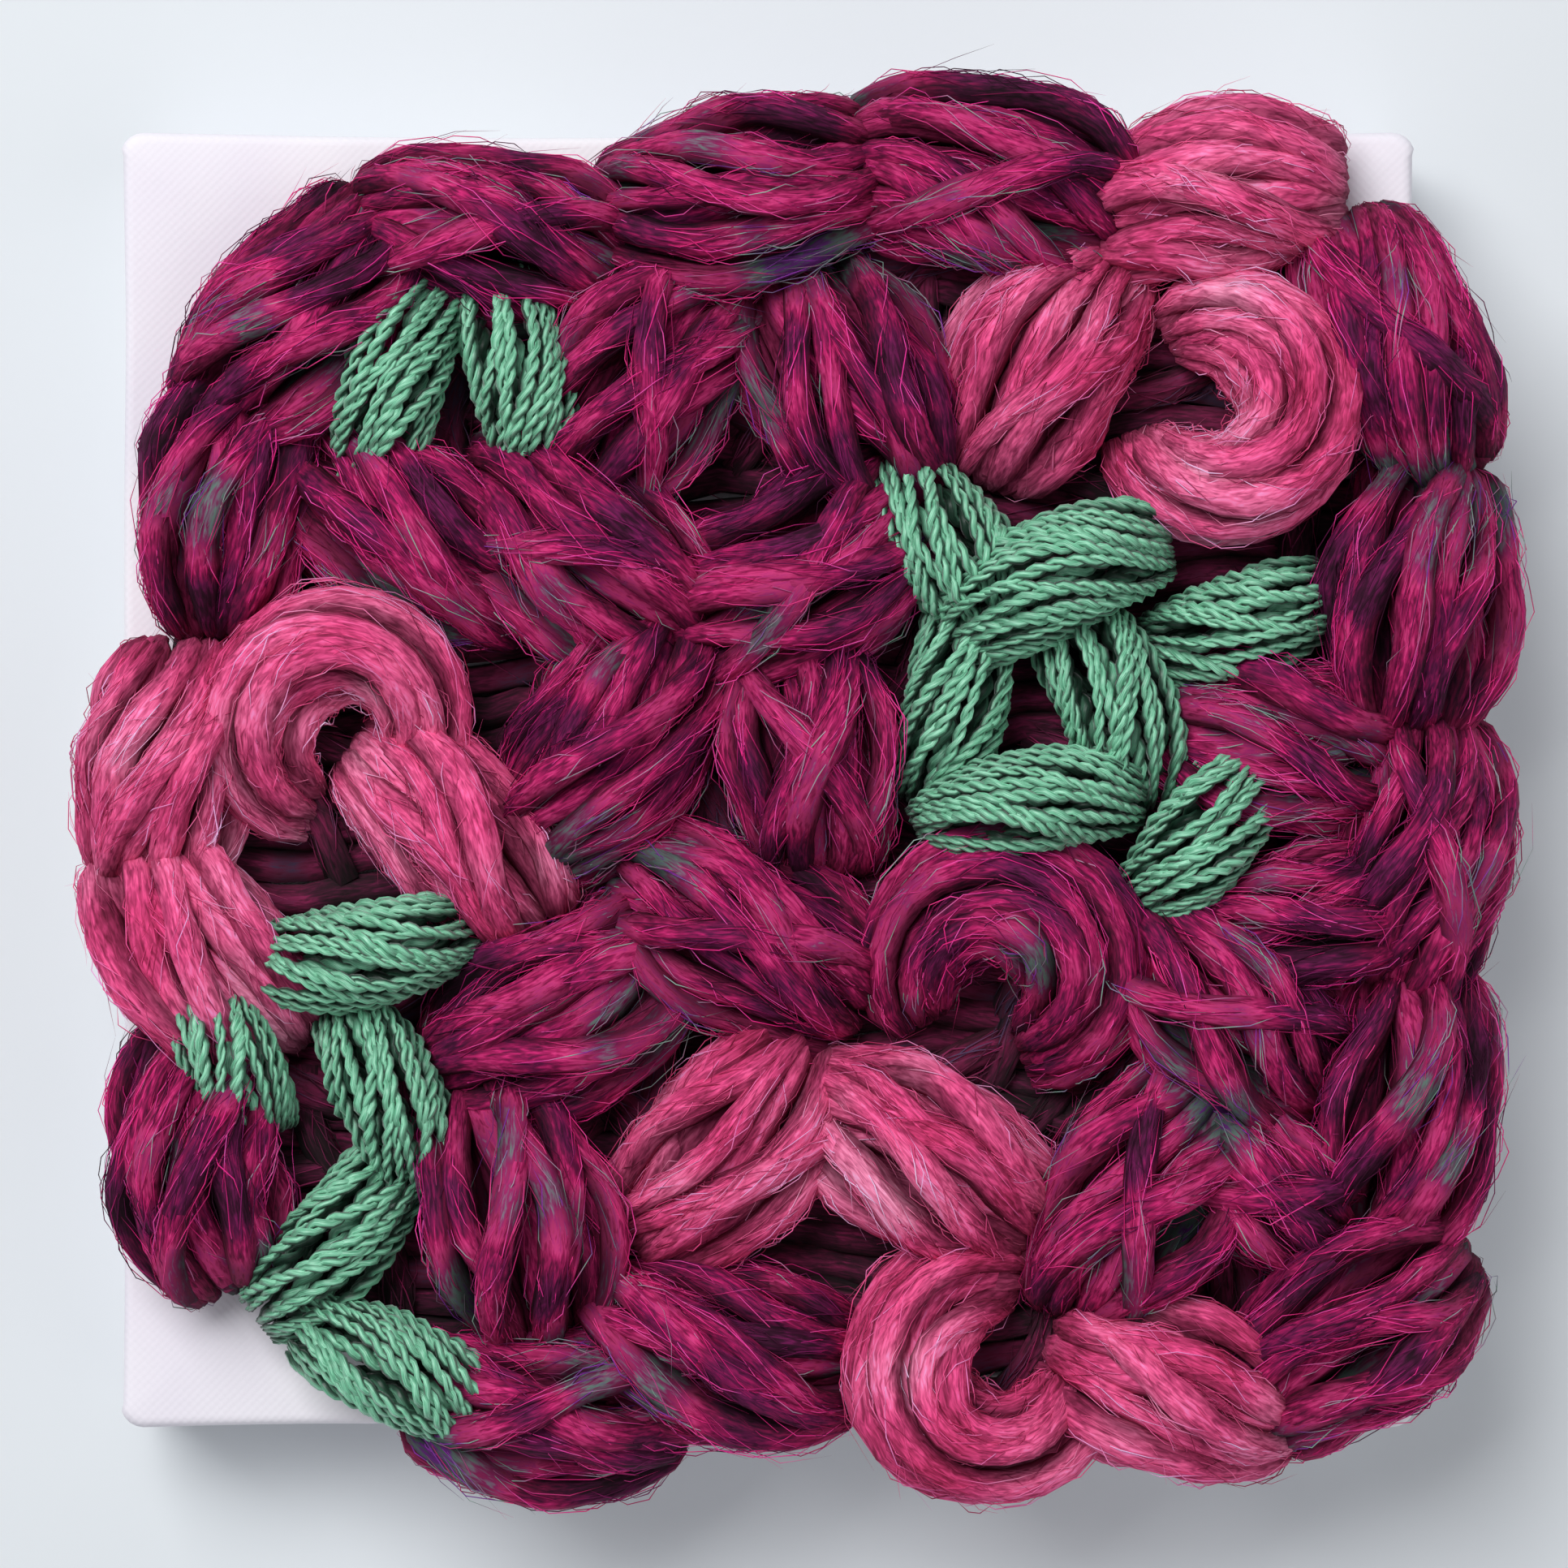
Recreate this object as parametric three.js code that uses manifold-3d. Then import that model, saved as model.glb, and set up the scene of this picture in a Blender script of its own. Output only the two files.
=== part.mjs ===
// A small stretched canvas covered with stitched-down hanks of yarn, in millimetres.
// It lies on its back: x runs right, y runs up the picture and z comes out of the canvas.
import * as THREE from 'three';
import * as BufferGeometryUtils from 'three/addons/utils/BufferGeometryUtils.js';
import Module from 'manifold-3d';

const wasm = await Module();
wasm.setup();

// Driving dimensions
const canvasSide = 100;
const canvasDepth = 15;
const clothThickness = 1;
const flapWidth = 11;
const cornerRadius = 1.5;
const foldThickness = 0.5;
const foldWidth = 14;
const barWidth = 14;
const gap = 0.3;
const groundThickness = 1.8;
const groundSwell = 0.5;
const ridge = 0.11;
const lowPart = 0.4;
const clearance = 0.45;

const half = canvasSide / 2;
const groundBottom = canvasDepth + gap;
const hankBottom = groundBottom + groundThickness + groundSwell + gap;

// The three yarns: how many strands show round a hank, how far a hank twists, and the rings along it
const yarns = {
  berry: { color: 0x8e1f55, roughness: 0.9, strands: 7, rings: 8, twist: 70 },
  rose: { color: 0xdb4c7c, roughness: 0.9, strands: 6, rings: 9, twist: 60 },
  green: { color: 0x4d9470, roughness: 0.55, strands: 5, rings: 8, twist: 150 },
};

// One row for each hank: its middle, the heading of its axis, its length along the axis, its width
// and rise, how far the axis turns from end to end, and how far it lies above the lowest layer.
// Where two hanks meet, the one with more lift, or the later one, presses into the other.
const hankRows = [
  // along the top edge
  { yarn: 'berry', x: -36, y: 35, heading: 53, length: 24, width: 15, rise: 11, turn: 25, lift: 0 },
  { yarn: 'berry', x: -21, y: 41, heading: -8, length: 23, width: 14, rise: 11, turn: -20, lift: 0 },
  { yarn: 'berry', x: -2, y: 45, heading: 12, length: 24, width: 15, rise: 12, turn: 25, lift: 0 },
  { yarn: 'berry', x: 17, y: 45, heading: -10, length: 24, width: 16, rise: 11, turn: -25, lift: 0 },
  { yarn: 'rose', x: 34, y: 44, heading: 10, length: 22, width: 14, rise: 10, turn: -20, lift: 0 },
  { yarn: 'berry', x: 48, y: 33, heading: -65, length: 24, width: 14, rise: 11, turn: 25, lift: 0 },
  // the second band down
  { yarn: 'berry', x: -41, y: 21, heading: 82, length: 22, width: 14, rise: 10, turn: -25, lift: 0 },
  { yarn: 'green', x: -28, y: 30, heading: 75, length: 19, width: 8.5, rise: 9, turn: -25, lift: 2.5 },
  { yarn: 'green', x: -19, y: 31, heading: 105, length: 18, width: 8.5, rise: 8, turn: 20, lift: 2.5 },
  { yarn: 'berry', x: -27, y: 19, heading: -30, length: 23, width: 15, rise: 11, turn: 20, lift: 0 },
  { yarn: 'berry', x: -9, y: 30, heading: 60, length: 23, width: 15, rise: 11, turn: -25, lift: 0 },
  { yarn: 'berry', x: 6, y: 30, heading: -55, length: 23, width: 16, rise: 12, turn: 25, lift: 0 },
  { yarn: 'rose', x: 21, y: 32, heading: 60, length: 22, width: 14, rise: 10, turn: -25, lift: 0 },
  { yarn: 'rose', x: 35, y: 28, heading: 70, length: 34, width: 10.5, rise: 11, turn: 300, lift: 1 },
  // the third band
  { yarn: 'rose', x: -33, y: 5, heading: 200, length: 34, width: 10.5, rise: 10, turn: 300, lift: 1 },
  { yarn: 'rose', x: -46, y: 1, heading: 80, length: 21, width: 14, rise: 10, turn: 20, lift: 0 },
  { yarn: 'berry', x: -14, y: 17, heading: -30, length: 24, width: 15, rise: 11, turn: -20, lift: 0 },
  { yarn: 'berry', x: 2, y: 16, heading: 35, length: 24, width: 15, rise: 11, turn: 25, lift: 0 },
  { yarn: 'green', x: 14, y: 18, heading: -50, length: 19, width: 9.5, rise: 9, turn: 30, lift: 1 },
  { yarn: 'green', x: 22, y: 15, heading: 25, length: 20, width: 9.5, rise: 9, turn: -35, lift: 3.5 },
  { yarn: 'green', x: 14, y: 6, heading: 80, length: 18, width: 8.5, rise: 8, turn: 25, lift: 1 },
  { yarn: 'green', x: 26, y: 6, heading: -65, length: 19, width: 9.5, rise: 9, turn: -25, lift: 1 },
  { yarn: 'green', x: 36, y: 12, heading: 20, length: 17, width: 8.5, rise: 8, turn: 30, lift: 1 },
  { yarn: 'berry', x: 50, y: 14, heading: 85, length: 23, width: 15, rise: 11, turn: -20, lift: 0 },
  // the fourth band
  { yarn: 'rose', x: -24, y: -4, heading: -45, length: 22, width: 14, rise: 10, turn: -20, lift: 0 },
  { yarn: 'berry', x: -12, y: 3, heading: 60, length: 23, width: 15, rise: 12, turn: 25, lift: 0 },
  { yarn: 'berry', x: 3, y: 2, heading: -80, length: 20, width: 14, rise: 11, turn: -20, lift: 0 },
  { yarn: 'green', x: 20, y: -2, heading: 10, length: 19, width: 8.5, rise: 9, turn: -30, lift: 3.5 },
  { yarn: 'berry', x: 39, y: 3, heading: -5, length: 20, width: 14, rise: 10, turn: 20, lift: 0 },
  { yarn: 'green', x: 33, y: -4, heading: 55, length: 17, width: 8.5, rise: 8, turn: 25, lift: 2.5 },
  { yarn: 'berry', x: 50, y: -6, heading: 80, length: 23, width: 14, rise: 11, turn: 20, lift: 0 },
  { yarn: 'rose', x: -43, y: -13, heading: -50, length: 22, width: 14, rise: 10, turn: 20, lift: 0 },
  { yarn: 'berry', x: -2, y: -12, heading: -25, length: 24, width: 15, rise: 11, turn: -20, lift: 0 },
  { yarn: 'berry', x: 18, y: -14, heading: 160, length: 34, width: 10.5, rise: 11, turn: 300, lift: 1 },
  { yarn: 'berry', x: 35, y: -17, heading: -40, length: 23, width: 15, rise: 11, turn: 20, lift: 0 },
  // the fifth band
  { yarn: 'berry', x: -43, y: -29, heading: 100, length: 22, width: 15, rise: 11, turn: -25, lift: 0 },
  { yarn: 'green', x: -31, y: -13, heading: 10, length: 19, width: 8.5, rise: 9, turn: 30, lift: 2.5 },
  { yarn: 'green', x: -29, y: -24, heading: -65, length: 18, width: 8.5, rise: 9, turn: -25, lift: 1 },
  { yarn: 'green', x: -33, y: -35, heading: 50, length: 19, width: 8.5, rise: 8, turn: 25, lift: 1 },
  { yarn: 'berry', x: -16, y: -18, heading: 35, length: 23, width: 15, rise: 11, turn: 25, lift: 0 },
  { yarn: 'berry', x: -19, y: -33, heading: -70, length: 23, width: 15, rise: 12, turn: -20, lift: 0 },
  { yarn: 'rose', x: -3, y: -28, heading: 50, length: 23, width: 14, rise: 10, turn: 25, lift: 0 },
  { yarn: 'rose', x: 12, y: -29, heading: -25, length: 22, width: 14, rise: 11, turn: -20, lift: 0 },
  { yarn: 'berry', x: 29, y: -32, heading: 60, length: 23, width: 15, rise: 11, turn: -25, lift: 0 },
  { yarn: 'berry', x: 48, y: -25, heading: 85, length: 23, width: 15, rise: 11, turn: 25, lift: 0 },
  // along the bottom edge
  { yarn: 'green', x: -28, y: -45, heading: -25, length: 19, width: 8.5, rise: 8, turn: -25, lift: 2.5 },
  { yarn: 'berry', x: -17, y: -48, heading: -5, length: 22, width: 14, rise: 10, turn: 20, lift: 0 },
  { yarn: 'berry', x: -4, y: -43, heading: -12, length: 24, width: 15, rise: 10, turn: 20, lift: 0 },
  { yarn: 'rose', x: 16, y: -45, heading: -60, length: 34, width: 10.5, rise: 10, turn: 300, lift: 1 },
  { yarn: 'rose', x: 31, y: -46, heading: -12, length: 21, width: 14, rise: 10, turn: 20, lift: 0 },
  { yarn: 'berry', x: 45, y: -42, heading: 40, length: 23, width: 15, rise: 11, turn: -20, lift: 0 },
  // small ones in the gaps
  { yarn: 'berry', x: 41, y: -10, heading: 25, length: 18, width: 12, rise: 10, turn: 20, lift: 0 },
  { yarn: 'berry', x: 38, y: -31, heading: -30, length: 16, width: 12, rise: 10, turn: 20, lift: 0 },
  { yarn: 'green', x: -41, y: -21, heading: 120, length: 14.5, width: 7.5, rise: 8, turn: 20, lift: 2.5 },
];

// Rim of the ground layer, anticlockwise from the right, as far as the yarn reaches on the canvas
const groundRim = [
  [48.5, 0], [48.5, 20], [48, 36], [40, 47], [18, 48.5], [-4, 48], [-21, 45], [-35, 41], [-44, 29],
  [-45, 16], [-48.5, 2], [-48, -14], [-48, -30], [-41, -38], [-34, -44], [-20, -48.5], [0, -48.5],
  [22, -48.5], [40, -47], [48, -38], [48.5, -20],
];

const degrees = THREE.MathUtils.degToRad;

function solidOf(geometry) {
  const bare = geometry.clone();
  bare.deleteAttribute('normal');
  bare.deleteAttribute('uv');
  const merged = BufferGeometryUtils.mergeVertices(bare, 1e-3);
  const vertProperties = new Float32Array(merged.attributes.position.array);
  const triVerts = new Uint32Array(merged.index.array);
  return new wasm.Manifold(new wasm.Mesh({ numProp: 3, vertProperties, triVerts }));
}

function geometryOf(solid) {
  const { vertProperties, triVerts } = solid.getMesh();
  const geometry = new THREE.BufferGeometry();
  geometry.setAttribute('position', new THREE.BufferAttribute(vertProperties, 3));
  geometry.setIndex(new THREE.BufferAttribute(triVerts, 1));
  return geometry;
}

// A square with round corners, centred on the origin
function squareShape(side, radius) {
  const reach = side / 2;
  const shape = new THREE.Shape();
  shape.absarc(reach - radius, reach - radius, radius, 0, Math.PI / 2);
  shape.absarc(radius - reach, reach - radius, radius, Math.PI / 2, Math.PI);
  shape.absarc(radius - reach, radius - reach, radius, Math.PI, 1.5 * Math.PI);
  shape.absarc(reach - radius, radius - reach, radius, 1.5 * Math.PI, 2 * Math.PI);
  return shape;
}

function block(shape, bottom, top, bevel = 0) {
  const geometry = new THREE.ExtrudeGeometry(shape, {
    depth: top - bottom - 2 * bevel,
    curveSegments: 4,
    bevelEnabled: bevel > 0,
    bevelThickness: bevel,
    bevelSize: bevel,
    bevelOffset: -bevel,
    bevelSegments: 2,
  });
  return geometry.translate(0, 0, bottom + bevel);
}

// The surplus cloth folded over one corner, a thin wedge on the side face that narrows to the front
function cornerFold(signX, signY) {
  const wedge = new THREE.Shape([
    new THREE.Vector2(half - cornerRadius, clothThickness),
    new THREE.Vector2(half - cornerRadius, canvasDepth - clothThickness),
    new THREE.Vector2(half - foldWidth, clothThickness),
  ]);
  const geometry = new THREE.ExtrudeGeometry(wedge, { depth: 2 * foldThickness, bevelEnabled: false });
  geometry.rotateX(Math.PI / 2);
  geometry.translate(0, half + foldThickness, 0);
  if (signY < 0) geometry.rotateZ(Math.PI);
  if (signX * signY < 0) {
    geometry.scale(-1, 1, 1);
    const order = geometry.attributes.position.array;
    for (let i = 0; i < order.length; i += 9) {
      const second = order.slice(i + 3, i + 6);
      order.copyWithin(i + 3, i + 6, i + 9);
      order.set(second, i + 6);
    }
  }
  return geometry;
}

// The primed cloth: a face, four sides and a flap turned in on the back all round
function canvasGeometry() {
  const inside = canvasSide - 2 * clothThickness;
  const opening = canvasSide - 2 * flapWidth;
  let cloth = solidOf(block(squareShape(canvasSide, cornerRadius), 0, canvasDepth, clothThickness / 2));
  for (const signX of [-1, 1]) {
    for (const signY of [-1, 1]) cloth = cloth.add(solidOf(cornerFold(signX, signY)));
  }
  const pocket = block(squareShape(inside, 0.5), clothThickness, canvasDepth - clothThickness);
  const back = block(squareShape(opening, 1), -clothThickness, 2 * clothThickness);
  return geometryOf(cloth.subtract(solidOf(pocket)).subtract(solidOf(back)));
}

// One pine bar with mitred ends, for the +y side before it is turned into place
function barGeometry() {
  const outer = half - clothThickness - gap;
  const inner = outer - barWidth;
  const trim = gap / Math.SQRT2;
  const outline = new THREE.Shape([
    new THREE.Vector2(-outer + trim, outer),
    new THREE.Vector2(-inner + trim, inner),
    new THREE.Vector2(inner - trim, inner),
    new THREE.Vector2(outer - trim, outer),
  ]);
  return block(outline, clothThickness + gap, canvasDepth - clothThickness - gap);
}

// The lowest layer of yarn, a lumpy pad between the canvas and the hanks
function groundGeometry() {
  const rim = new THREE.CatmullRomCurve3(groundRim.map(([x, y]) => new THREE.Vector3(x, y, 0)), true);
  const top = groundThickness;
  const profile = [[0, 0], [0.5, 0], [0.99, 0], [1, 0.5 * top], [0.98, top]];
  for (const reach of [0.85, 0.7, 0.55, 0.4, 0.2, 0]) profile.push([reach, top]);
  const segments = 36;
  const pad = new THREE.LatheGeometry(profile.map(([r, z]) => new THREE.Vector2(r, z)), segments);
  const position = pad.attributes.position;
  for (let i = 0; i < position.count; i += 1) {
    const [x, height, z] = [position.getX(i), position.getY(i), position.getZ(i)];
    const reach = Math.hypot(x, z);
    const around = (Math.atan2(x, z) / (2 * Math.PI) + 1) % 1;
    const edge = rim.getPoint(around);
    const [px, py] = [reach * edge.x, reach * edge.y];
    const onTop = height > 0.9 * top && reach < 0.9;
    const swell = onTop ? groundSwell * Math.sin(px / 3) * Math.cos(py / 3.5) : 0;
    position.setXYZ(i, px, py, groundBottom + height + swell);
  }
  return pad;
}

// Yarn past the edge of the canvas hangs down a little
function droop(x, y) {
  const past = Math.max(0, Math.abs(x) - half, Math.abs(y) - half);
  return 0.35 * past ** 1.3;
}

// One hank: its ends are stitched down, and its strands make ridges that wind along it.
// With a margin it is the space that the hank takes up, swollen and flat between the ridges,
// for pressing it into its neighbours.
function hankGeometry(row, margin = 0) {
  const yarn = yarns[row.yarn];
  const sides = margin > 0 ? yarn.strands : 2 * yarn.strands;
  const geometry = new THREE.SphereGeometry(1, sides, yarn.rings);
  const length = row.length + 2 * margin;
  const curvature = degrees(row.turn) / row.length;
  const heading = degrees(row.heading);
  // the arc's centre of area lies off its middle by this much
  const sag = (1 - Math.sin(degrees(row.turn) / 2) / (degrees(row.turn) / 2)) / curvature;
  const position = geometry.attributes.position;
  for (let i = 0; i < position.count; i += 1) {
    const [px, py, pz] = [position.getX(i), position.getY(i), position.getZ(i)];
    const along = Math.acos(THREE.MathUtils.clamp(py, -1, 1)) / Math.PI;
    const spoke = Math.round((Math.atan2(pz, -px) / (2 * Math.PI)) * sides + sides) % sides;
    const angle = Math.PI * (1 - (2 * spoke) / sides) + degrees(yarn.twist) * (along - 0.5);
    const valley = margin === 0 && spoke % 2 === 1;
    const swell = (valley ? 1 - ridge : 1 + ridge) * Math.sin(Math.PI * along) ** 0.5;
    const across = (row.width / 2 + margin) * swell * Math.cos(angle);
    const middle = lowPart * row.rise * Math.sin(Math.PI * along) ** 0.5;
    const part = Math.sin(angle) < 0 ? lowPart : 1 - lowPart;
    const up = middle + (part * row.rise + margin) * swell * Math.sin(angle);
    const reach = (along - 0.5) * length;
    const turned = curvature * reach;
    const localX = Math.sin(turned) / curvature - Math.sin(turned) * across;
    const localY = (1 - Math.cos(turned)) / curvature - sag + Math.cos(turned) * across;
    const x = row.x + localX * Math.cos(heading) - localY * Math.sin(heading);
    const y = row.y + localX * Math.sin(heading) + localY * Math.cos(heading);
    const low = Math.max(up, -margin);
    position.setXYZ(i, x, y, hankBottom + row.lift + low - droop(x, y));
  }
  return geometry;
}

// Every hank, with each neighbour that lies over it pressed into it
function hankGeometries() {
  const order = hankRows.map((row, i) => i).sort((a, b) => hankRows[a].lift - hankRows[b].lift || a - b);
  const boxes = hankRows.map((row) => {
    const grown = hankGeometry(row, clearance);
    grown.computeBoundingBox();
    return grown.boundingBox;
  });
  const geometries = [];
  order.forEach((index, place) => {
    let solid = solidOf(hankGeometry(hankRows[index]));
    for (const other of order.slice(place + 1)) {
      if (boxes[index].intersectsBox(boxes[other])) {
        solid = solid.subtract(solidOf(hankGeometry(hankRows[other], clearance)));
      }
    }
    geometries[index] = geometryOf(solid);
  });
  return geometries;
}

function piece(name, geometry, look) {
  const mesh = new THREE.Mesh(geometry, new THREE.MeshStandardMaterial({ metalness: 0, ...look }));
  mesh.name = name;
  return mesh;
}

const picture = new THREE.Group();
picture.add(piece('canvas', canvasGeometry(), { color: 0xf0eaf3, roughness: 0.85 }));
['top', 'left', 'bottom', 'right'].forEach((side, turn) => {
  const bar = piece(`bar_${side}`, barGeometry(), { color: 0xd9b98a, roughness: 0.7 });
  bar.rotation.z = (turn * Math.PI) / 2;
  picture.add(bar);
});
picture.add(piece('ground', groundGeometry(), { color: 0x4a1030, roughness: 0.95 }));
const counts = {};
hankGeometries().forEach((geometry, i) => {
  const { yarn } = hankRows[i];
  counts[yarn] = (counts[yarn] ?? 0) + 1;
  const name = `${yarn}_hank_${String(counts[yarn]).padStart(2, '0')}`;
  picture.add(piece(name, geometry, { color: yarns[yarn].color, roughness: yarns[yarn].roughness }));
});

// The origin is under the middle of the whole thing, yarn included
const middle = new THREE.Box3().setFromObject(picture).getCenter(new THREE.Vector3());
picture.position.set(-middle.x, -middle.y, 0);
const object = new THREE.Group();
object.add(picture);

export default object;
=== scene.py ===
import math
from collections import namedtuple

import bpy
import numpy as np
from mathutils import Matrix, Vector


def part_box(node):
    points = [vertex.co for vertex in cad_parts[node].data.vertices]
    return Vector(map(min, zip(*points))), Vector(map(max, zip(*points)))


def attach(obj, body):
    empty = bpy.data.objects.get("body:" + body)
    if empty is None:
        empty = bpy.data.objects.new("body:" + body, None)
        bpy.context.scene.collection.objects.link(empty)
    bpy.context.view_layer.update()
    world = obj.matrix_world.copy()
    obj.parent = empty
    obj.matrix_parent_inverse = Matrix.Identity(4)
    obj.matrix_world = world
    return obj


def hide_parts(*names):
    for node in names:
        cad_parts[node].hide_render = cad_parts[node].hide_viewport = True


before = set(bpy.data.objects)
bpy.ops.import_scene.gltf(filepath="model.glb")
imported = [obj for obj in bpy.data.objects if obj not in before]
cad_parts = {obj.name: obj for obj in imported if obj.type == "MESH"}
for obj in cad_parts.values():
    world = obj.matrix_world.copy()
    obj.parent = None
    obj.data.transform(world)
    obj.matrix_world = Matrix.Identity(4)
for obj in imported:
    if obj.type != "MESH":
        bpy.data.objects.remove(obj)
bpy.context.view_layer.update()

MM = 0.001


# The stretcher bars: four mitred strips of bare pine, glued and stapled into a square.
# They are the CAD parts themselves, with planed wood on them. The grain runs along each bar.

BAR_TURNS = {"bar_top": 0, "bar_bottom": 0, "bar_left": math.pi / 2, "bar_right": math.pi / 2}


def linear(colour):
    """An sRGB hex colour as the linear RGBA that a shader takes."""
    parts = [int(colour[i:i + 2], 16) / 255 for i in (1, 3, 5)]
    return [c / 12.92 if c <= 0.04045 else ((c + 0.055) / 1.055) ** 2.4 for c in parts] + [1.0]


def add_node(tree, kind, inputs=None, out=0, stops=(), **settings):
    """Add a node and give one of its outputs. Its inputs go by name or number and are values or
    sockets, its settings go by name, and stops are the places and colours of a ramp."""
    node = tree.nodes.new(kind)
    for name, value in settings.items():
        setattr(node, name, value)
    for name, value in (inputs or {}).items():
        if isinstance(value, bpy.types.NodeSocket):
            tree.links.new(value, node.inputs[name])
        else:
            node.inputs[name].default_value = value
    for _ in stops[2:]:
        node.color_ramp.elements.new(0.5)
    if stops:
        for element, (place, colour) in zip(node.color_ramp.elements, stops):
            element.position = place
            element.color = linear(colour)
    return node.outputs[out]


def new_material(name, **shader_values):
    """A material with its Principled shader, which takes the values that are the same all over."""
    made = bpy.data.materials.new(name)
    made.use_nodes = True
    tree = made.node_tree
    shader = tree.nodes["Principled BSDF"]
    for key, value in shader_values.items():
        shader.inputs[key.replace("_", " ")].default_value = value
    return made, tree, shader


def planed_pine(name, turn):
    """Bare planed pine: fine darker growth lines about 1.5 mm apart along the bar, a dull surface."""
    made, tree, shader = new_material(name, Roughness=0.62)
    place = add_node(tree, "ShaderNodeTexCoord", out="Object")
    along = add_node(tree, "ShaderNodeMapping", {
        "Vector": place, "Rotation": (0, 0, turn), "Scale": (40, 650, 650)})
    lines = add_node(tree, "ShaderNodeTexNoise", {
        "Vector": along, "Scale": 1.0, "Detail": 4.0, "Distortion": 0.4}, out="Fac")
    grain = add_node(tree, "ShaderNodeValToRGB", {"Fac": lines},
                     stops=[(0.3, "#C79A62"), (0.5, "#DDBB87"), (0.72, "#EBD3A8")])
    relief = add_node(tree, "ShaderNodeBump", {"Height": lines, "Strength": 0.25, "Distance": 0.1 * MM})
    tree.links.new(grain, shader.inputs["Base Color"])
    tree.links.new(relief, shader.inputs["Normal"])
    return made


for bar_name, turn in BAR_TURNS.items():
    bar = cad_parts[bar_name]
    bar.data.materials.clear()
    bar.data.materials.append(planed_pine("planed_pine_" + bar_name, turn))


# The canvas: primed cotton cloth pulled over the bars, a face, four sides and a flap stapled on
# the back. Its edges are rolled round the bars and its corners are folded, so they stand proud.

CANVAS_LOW, CANVAS_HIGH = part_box("canvas")
MIDDLE = ((CANVAS_LOW[0] + CANVAS_HIGH[0]) / 2, (CANVAS_LOW[1] + CANVAS_HIGH[1]) / 2)
CANVAS_TOP = CANVAS_HIGH[2]
CANVAS_SIDE = CANVAS_HIGH[0] - CANVAS_LOW[0]
CLOTH = 1.0 * MM
FLAP = 11 * MM
ROLL = 0.9 * MM
CORNER = 1.6 * MM
EDGE_BAND = 3 * MM
THREAD_SPACING = 0.7 * MM


def new_piece(name, mesh):
    made = bpy.data.objects.new(name, mesh)
    bpy.context.scene.collection.objects.link(made)
    return made


def canvas_outline(inset, height):
    """Points round the canvas at one height. Within a band at the edge its sides are a little wavy
    and swell towards the corners, more above and below, where the surplus cloth is folded in."""
    half = CANVAS_SIDE / 2 - inset
    corner = max(CORNER - 0.6 * inset, 0.3 * MM)
    near = max(0.0, 1 - inset / EDGE_BAND)
    straight = np.linspace(-1, 1, 41)
    lifted = np.clip((np.abs(straight) - 0.72) / 0.28, 0, 1)
    points = []
    for side in range(4):
        fold = 0.35 * MM if side % 2 else 0.12 * MM
        wave = 0.08 * MM * np.sin(7 * straight + 2 * side)
        out = half + near * (fold * lifted + wave * (1 - lifted) - 0.15 * MM)
        run = straight * (half - corner)
        turn = side * math.pi / 2
        ahead = np.array([math.cos(turn), math.sin(turn)])
        left = np.array([-math.sin(turn), math.cos(turn)])
        points.append(out[:, None] * ahead + run[:, None] * left)
        centre = (half - corner) * (ahead + left)
        for step in (0.2, 0.4, 0.6, 0.8):
            angle = turn + step * math.pi / 2
            reach = corner + near * 0.2 * MM
            points.append((centre + reach * np.array([math.cos(angle), math.sin(angle)]))[None])
    return [(MIDDLE[0] + x, MIDDLE[1] + y, height) for x, y in np.concatenate(points)]


def canvas_mesh():
    """A closed shell from rings, each an inset and a height: out over the face, down the sides,
    in along the flap and back inside, one cloth lower."""
    rings = [(CANVAS_SIDE / 2 * share, CANVAS_TOP) for share in (0.96, 0.8, 0.6, 0.4, 0.2, 0.1)]
    rings += [(ROLL * (1 - math.sin(a)), CANVAS_TOP - ROLL * (1 - math.cos(a)))
              for a in np.linspace(0, math.pi / 2, 5)]
    rings += [(0, z * MM) for z in (11, 8, 5, 2.5)]
    rings += [(ROLL * (1 - math.cos(a)), ROLL * (1 - math.sin(a))) for a in np.linspace(0, math.pi / 2, 4)]
    rings += [(inset * MM, 0) for inset in (4, 8)] + [(FLAP, 0.1 * MM), (FLAP, CLOTH)]
    rings += [(4 * MM, CLOTH), (1.1 * CLOTH, CLOTH), (1.1 * CLOTH, CANVAS_TOP - CLOTH)]
    rings += [(CANVAS_SIDE / 2 * share, CANVAS_TOP - CLOTH) for share in (0.4, 0.96)]
    points, faces = [], []
    for inset, height in rings:
        points += canvas_outline(inset, height)
    count = len(points) // len(rings)
    for ring in range(len(rings) - 1):
        for i in range(count):
            a, b = ring * count + i, ring * count + (i + 1) % count
            faces.append((a, a + count, b + count, b))
    faces.append(tuple(range(count)))
    faces.append(tuple(reversed(range(len(points) - count, len(points)))))
    mesh = bpy.data.meshes.new("canvas_cloth")
    mesh.from_pydata(points, [], faces)
    mesh.shade_smooth()
    return mesh


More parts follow.
